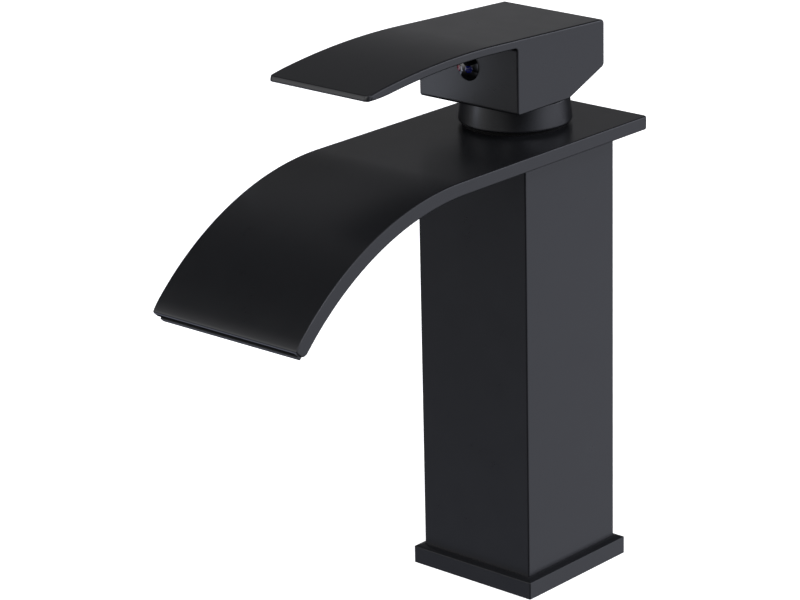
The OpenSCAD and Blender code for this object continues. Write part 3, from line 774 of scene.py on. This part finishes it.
# %% Nut
NUT_FLATS = 13.0
NUT_LOW = -47.0
NUT_HIGH = -35.0
NUT_BORE = 4.08
NUT_CONE = 0.9
CONE_TILT = math.radians(30)
NUT_SIDES = 96
NUT_RINGS = np.array([0, 0.2, 0.4, 1])


def hex_nut(name, flats, low, high, bore):
    """A hexagon with its corners cut by cones: the radius is the smaller of
    flats / (2 cos a), with a from -30 to 30 degrees, and
    NUT_CONE * flats / 2 + depth / tan(CONE_TILT), with the depth from the nearer end."""
    z = np.hstack([low + NUT_RINGS, (low + high) / 2, (high - NUT_RINGS)[::-1]])[:, None]
    angle = np.linspace(0, 2 * math.pi, NUT_SIDES, endpoint=False)[None, :]
    side = (angle + math.pi / 6) % (math.pi / 3) - math.pi / 6
    hexagon = flats / 2 / np.cos(side)
    cone = NUT_CONE * flats / 2 + np.minimum(z - low, high - z) / math.tan(CONE_TILT)
    outer = np.minimum(hexagon, cone)
    inner_z = z[::-1]
    inner = np.full_like(outer, bore)
    r = np.vstack([outer, inner])
    z = np.broadcast_to(np.vstack([z, inner_z]), r.shape)
    return grid_mesh(name, np.stack([r * np.cos(angle), r * np.sin(angle), z], axis=-1),
                     wrap_rows=True)


nut_mesh = hex_nut("hex_nut", NUT_FLATS, NUT_LOW, NUT_HIGH, NUT_BORE)
nut_mesh.transform(stud_place)
make_piece("hex_nut", nut_mesh, "deck_clamp", "brass", "clamp_nut")

# %% [markdown]
# ## Writing a material as sums
#
# Node trees are quicker to read as formulas. The small class below wraps one output socket, so
# that `1 - mask * 0.3` adds the Math nodes by itself. Every other node comes from one method.


# %% Sums of sockets
class Value:
    """One output of a node, which can stand in a sum or a product like a number."""

    def __init__(self, graph, socket):
        self.graph = graph
        self.socket = socket

    def _maths(self, operation, *values):
        return self.graph.node("ShaderNodeMath", {"operation": operation}, dict(enumerate(values)))

    def __add__(self, other):
        return self._maths("ADD", self, other)

    def __sub__(self, other):
        return self._maths("SUBTRACT", self, other)

    def __rsub__(self, other):
        return self._maths("SUBTRACT", other, self)

    def __mul__(self, other):
        return self._maths("MULTIPLY", self, other)

    def __truediv__(self, other):
        return self._maths("DIVIDE", self, other)

    __radd__ = __add__
    __rmul__ = __mul__


# %% Node trees
MIX_COLOURS = (6, 7)
MIX_RESULT = 2


class Graph:
    """A node tree, with one method that adds any node to it."""

    def __init__(self, tree):
        self.tree = tree

    def node(self, kind, settings=None, values=None, output=0):
        """Adds a node, sets its settings, then sets or links its sockets."""
        made = self.tree.nodes.new(kind)
        for key, setting in (settings or {}).items():
            setattr(made, key, setting)
        for key, value in (values or {}).items():
            self.connect(made.inputs[key], value)
        return Value(self, made.outputs[output])

    def connect(self, socket, value):
        """Links a socket to a Value, or sets it to a number or a colour."""
        if isinstance(value, Value):
            self.tree.links.new(value.socket, socket)
        else:
            socket.default_value = value

    def blend(self, mask, low, high):
        """A colour that goes from low to high with the mask. Each is three numbers or a
        Value."""
        ends = [end if isinstance(end, Value) else (*end, 1) for end in (low, high)]
        return self.node("ShaderNodeMix", {"data_type": "RGBA"},
                         {"Factor": mask, **dict(zip(MIX_COLOURS, ends))}, output=MIX_RESULT)


# %% Finishes
class Finish(Graph):
    """A material with one Principled shader. Its patterns lie on Object coordinates."""

    def __init__(self, name, **constants):
        self.material = bpy.data.materials.new(name)
        self.material.use_nodes = True
        super().__init__(self.material.node_tree)
        self.shader = self.tree.nodes["Principled BSDF"]
        for socket, value in constants.items():
            self.shader.inputs[socket.replace("_", " ")].default_value = value
        self.place = self.node("ShaderNodeTexCoord", output="Object")

    def drive(self, socket, value):
        """Feeds one of the shader's own sockets."""
        self.connect(self.shader.inputs[socket], value)

    def noise(self, size, detail=2.0, stretch=(1, 1, 1)):
        """Noise between 0 and 1 whose grains are about size millimetres wide."""
        scale = tuple(s / (size * MM) for s in stretch)
        place = self.node("ShaderNodeMapping", values={"Vector": self.place, "Scale": scale},
                          output="Vector")
        return self.node("ShaderNodeTexNoise",
                         values={"Vector": place, "Scale": 1.0, "Detail": detail}, output="Fac")

    def relief(self, height, depth, strength):
        """Bumps the surface by a height map whose full step is depth millimetres."""
        bump = self.node("ShaderNodeBump",
                         values={"Height": height, "Distance": depth * MM, "Strength": strength},
                         output="Normal")
        self.drive("Normal", bump)


# %% [markdown]
# ## Satin black coating
#
# The faucet's colour is a baked coating over brass. It is nearly black, a little cool, and its
# gloss is dulled by a very fine grain. One colour and one roughness could do from afar, but then
# the large flats look lifeless, so slow clouds go through both.

# %% Satin black
satin = Finish("satin_black_coating", Metallic=0.0)
grain = satin.noise(size=0.35, detail=3.0)
clouds = satin.noise(size=9.0, detail=2.0)
satin.drive("Base Color", satin.blend(clouds, (0.0122, 0.0126, 0.0138), (0.0142, 0.0147, 0.0160)))
satin.drive("Roughness", 0.25 + 0.05 * clouds + 0.03 * grain)
satin.relief(grain, depth=0.002, strength=0.5)

# %% [markdown]
# ## Gloss, enamel, metals, rubber, ceramic and plastic
#
# The button is clear-coated plastic. The dots are enamel. Hidden pieces get the finish that they
# have in a shop: turned brass with fine rings, dull zinc on steel, matte rubber, pale lapped
# ceramic and milky moulded plastic. Photographs of such surfaces could be laid on, but noise needs
# no file and keeps its scale on every piece.

# %% Gloss and enamel
gloss = Finish("gloss_black_button", Metallic=0.0, Coat_Weight=1.0, Coat_Roughness=0.03)
specks = gloss.noise(size=0.6)
gloss.drive("Base Color", gloss.blend(specks, (0.004, 0.004, 0.005), (0.007, 0.007, 0.008)))
gloss.drive("Roughness", 0.10 + 0.05 * specks)


def enamel(name, deep, bright):
    """Glossy paint with faint clouding."""
    paint = Finish(name, Metallic=0.0, Coat_Weight=1.0, Coat_Roughness=0.04)
    pool = paint.noise(size=0.9)
    paint.drive("Base Color", paint.blend(pool, deep, bright))
    paint.drive("Roughness", 0.12 + 0.08 * pool)
    return paint


red = enamel("hot_red_enamel", (0.26, 0.003, 0.03), (0.40, 0.008, 0.05))
blue = enamel("cold_blue_enamel", (0.008, 0.012, 0.16), (0.014, 0.022, 0.26))

# %% Metals
brass = Finish("turned_brass", Metallic=1.0)
turning = brass.noise(size=0.5, detail=3.0, stretch=(0.12, 0.12, 1))
stain = brass.noise(size=6.0)
brass.drive("Base Color", brass.blend(stain, (0.66, 0.49, 0.22), (0.80, 0.63, 0.33)))
brass.drive("Roughness", 0.24 + 0.12 * turning + 0.08 * stain)
brass.relief(turning, depth=0.01, strength=0.5)

zinc = Finish("zinc_plated_steel", Metallic=1.0)
frost = zinc.noise(size=1.2, detail=4.0)
zinc.drive("Base Color", zinc.blend(frost, (0.52, 0.54, 0.57), (0.68, 0.69, 0.70)))
zinc.drive("Roughness", 0.28 + 0.18 * frost)
zinc.relief(frost, depth=0.006, strength=0.5)

# %% Rubber, ceramic and plastic
rubber = Finish("black_rubber", Metallic=0.0, Specular_IOR_Level=0.2)
skin_grain = rubber.noise(size=0.5, detail=4.0)
rubber.drive("Base Color", rubber.blend(skin_grain, (0.003, 0.003, 0.003), (0.006, 0.006, 0.006)))
rubber.drive("Roughness", 0.72 + 0.15 * skin_grain)
rubber.relief(skin_grain, depth=0.02, strength=0.6)

ceramic = Finish("lapped_ceramic", Metallic=0.0)
fleck = ceramic.noise(size=0.4, detail=3.0)
ceramic.drive("Base Color", ceramic.blend(fleck, (0.80, 0.79, 0.75), (0.88, 0.87, 0.84)))
ceramic.drive("Roughness", 0.14 + 0.10 * fleck)

plastic = Finish("moulded_plastic", Metallic=0.0)
flow = plastic.noise(size=5.0, detail=3.0)
plastic.drive("Base Color", plastic.blend(flow, (0.70, 0.70, 0.67), (0.78, 0.78, 0.75)))
plastic.drive("Roughness", 0.38 + 0.12 * flow)
plastic.relief(plastic.noise(size=0.8, detail=3.0), depth=0.008, strength=0.5)

# %% [markdown]
# ## Who wears what
#
# The CAD's record gives every node a slot, and each new piece was given the slot of what it
# replaces. Materials could be assigned one by one, but a table from slot to finish keeps pieces
# that are alike the same.

# %% Hand the finishes out
finishes = {"satin_black": satin, "gloss_black": gloss, "hot_red": red, "cold_blue": blue,
            "brass": brass, "steel": zinc, "rubber": rubber, "ceramic": ceramic,
            "cartridge_plastic": plastic}


def wear(thing, slot):
    """Gives an object the one material of its slot."""
    thing.data.materials.clear()
    thing.data.materials.append(finishes[slot].material)


for entry in frame["record"]["subparts"]:
    wear(frame["nodes"][entry["node"]], entry["material_slot"])
for piece, slot in new_pieces:
    wear(piece, slot)
print("Finishes:", ", ".join(finishes))

# %% [markdown]
# ## The studio
#
# The photograph has a plain white ground. A white floor under strong lamps could give it, but
# the faucet would mirror it. This floor glows as bright as the white behind it, and only the
# camera sees it: the faucet is lit as if it weren't there, also by the softboxes that hang below
# it. Places and sizes in the studio are in metres.

# %% Floor
FLOOR_SIZE = 16.0
FLOOR_LEVEL = -0.00005


def flat_sheet(name, wide, high):
    """A rectangle in the ground plane, with its middle at the origin."""
    x, y = wide / 2, high / 2
    mesh = bpy.data.meshes.new(name)
    mesh.from_pydata([(-x, -y, 0), (x, -y, 0), (x, y, 0), (-x, y, 0)], [], [(0, 1, 2, 3)])
    return mesh


floor_mesh = flat_sheet("studio_floor", FLOOR_SIZE, FLOOR_SIZE)
floor_mesh.transform(Matrix.Translation((0, 0, FLOOR_LEVEL)))
floor = bpy.data.objects.new("studio_floor", floor_mesh)
bpy.context.scene.collection.objects.link(floor)
paper = Finish("white_paper", Roughness=0.9, Emission_Strength=1.0)
paper.drive("Base Color", (0.8, 0.8, 0.8, 1))
paper.drive("Emission Color", (1, 1, 1, 1))
floor_mesh.materials.append(paper.material)
floor.visible_glossy = False
floor.visible_diffuse = False
print("Floor in metres:", FLOOR_SIZE)

# %% [markdown]
# ## A card for the block's front
#
# The front of the handle's block has a soft cool patch in the photograph. A softbox far away
# could give it, but the column's front faces the same way and would get it too. So a small card
# hangs in front, near enough that the block mirrors it and the column hardly does. The camera
# doesn't see it.

# %% Card
CARD_PLACE = (-0.060, -0.0745, 0.153)
CARD_AIM = (-0.015, -0.0232, 0.172)
CARD_SIZE = (0.022, 0.034)
CARD_STRENGTH = 1.8
CARD_COLOUR = (0.95, 1.0, 1.15)


def card(name, middle, aim, size, strength, colour):
    """A small glowing sheet that faces a point and that the camera doesn't see."""
    mesh = flat_sheet(name, *size)
    facing = (Vector(aim) - Vector(middle)).to_track_quat("Z", "Y").to_matrix().to_4x4()
    mesh.transform(Matrix.Translation(middle) @ facing)
    glow = Finish(name, Roughness=1.0, Emission_Strength=strength)
    glow.drive("Base Color", (0, 0, 0, 1))
    glow.drive("Emission Color", (*colour, 1))
    mesh.materials.append(glow.material)
    sheet = bpy.data.objects.new(name, mesh)
    bpy.context.scene.collection.objects.link(sheet)
    sheet.visible_camera = False
    print(f"{name}: {size[0] / MM:.0f} x {size[1] / MM:.0f} mm")


card("block_card", CARD_PLACE, CARD_AIM, CARD_SIZE, CARD_STRENGTH, CARD_COLOUR)

# %% [markdown]
# ## Softboxes far away
#
# A black satin surface has almost no colour of its own, and what is seen on it is the room. So
# the light decides the picture. Lamps near the faucet could do all of it, as the card does for
# one face, but patches of the sky light every piece alike and leave less noise. Each softbox here
# is such a patch, given by where it hangs, how far it reaches to each side and up, and how bright
# it is. The wide ones give the flats their tones, and the small strong ones draw the bright lines
# along edges. They have three tints, plain, cool and blue, and the sky's colour is mixed by how
# much each adds in a direction. The camera itself sees plain white.

# %% World
ABOVE_ZERO = 1e-6

world = bpy.data.worlds.new("studio")
bpy.context.scene.world = world
world.use_nodes = True
studio = Graph(world.node_tree)
towards = studio.node("ShaderNodeTexCoord", output="Generated")
split = studio.node("ShaderNodeSeparateXYZ", values={"Vector": towards})
side_part, back_part, up_part = (Value(studio, output) for output in split.socket.node.outputs)
flat_part = studio.node("ShaderNodeMath", {"operation": "SQRT"},
                        {0: side_part * side_part + back_part * back_part + ABOVE_ZERO})
height_angle = studio.node("ShaderNodeMath", {"operation": "ARCSINE"}, {0: up_part})

# %% Softboxes
LN_2 = math.log(2)


def softbox(turn, height, half_turn, half_height, strength):
    """A patch of light: strength * exp(-ln 2 * (sideways^2 + upwards^2)), where sideways and
    upwards are 1 at the half angles. All angles are in degrees, the turn counts from the
    faucet's front to the right. Sideways^2 is (1 - cos turn) / (1 - cos half_turn)."""
    angle = math.radians(turn)
    facing = (side_part * math.sin(angle) - back_part * math.cos(angle)) / flat_part
    sideways = (1 - facing) * (1 / (1 - math.cos(math.radians(half_turn))))
    upwards = (height_angle - math.radians(height)) * (1 / math.radians(half_height))
    fade = (sideways + upwards * upwards) * -LN_2
    return studio.node("ShaderNodeMath", {"operation": "EXPONENT"}, {0: fade}) * strength


blue_light = softbox(-62, -55, 30, 19, 1.62)
cool_light = sum([
    softbox(110, 12, 27, 22, 1.74),
    softbox(142, -23, 16, 16, 0.80),
    softbox(76, 44, 16, 6, 8.00),
    softbox(146, 14, 11, 7, 3.20),
], 0.0)
plain_light = sum([
    softbox(119, 79, 66, 13, 0.89),
    softbox(-38, 13, 23, 16, 1.74),
    softbox(8, 33, 18, 18, 2.34),
    softbox(-127, 44, 22, 17, 0.22),
    softbox(-141, 1, 16, 11, 0.40),
], 0.0)
light = blue_light + cool_light + plain_light

# %% Tints and background
PLAIN = (1.0, 1.0, 1.03)
COOL = (0.97, 1.0, 1.14)
BLUE = (0.94, 1.0, 1.28)

cooled = studio.blend(cool_light / light, PLAIN, COOL)
tint = studio.blend(blue_light / light, cooled, BLUE)
background = studio.tree.nodes["Background"]
studio.connect(background.inputs["Color"], tint)
studio.connect(background.inputs["Strength"], light)
white = studio.node("ShaderNodeBackground", values={"Color": (1, 1, 1, 1)})
seen = studio.node("ShaderNodeLightPath", output="Is Camera Ray")
mixed = studio.node("ShaderNodeMixShader",
                    values={"Fac": seen, 1: Value(studio, background.outputs[0]), 2: white},
                    output="Shader")
studio.connect(studio.tree.nodes["World Output"].inputs["Surface"], mixed)
bpy.context.scene.view_settings.view_transform = "Standard"
print("Nodes in the sky:", len(studio.tree.nodes))
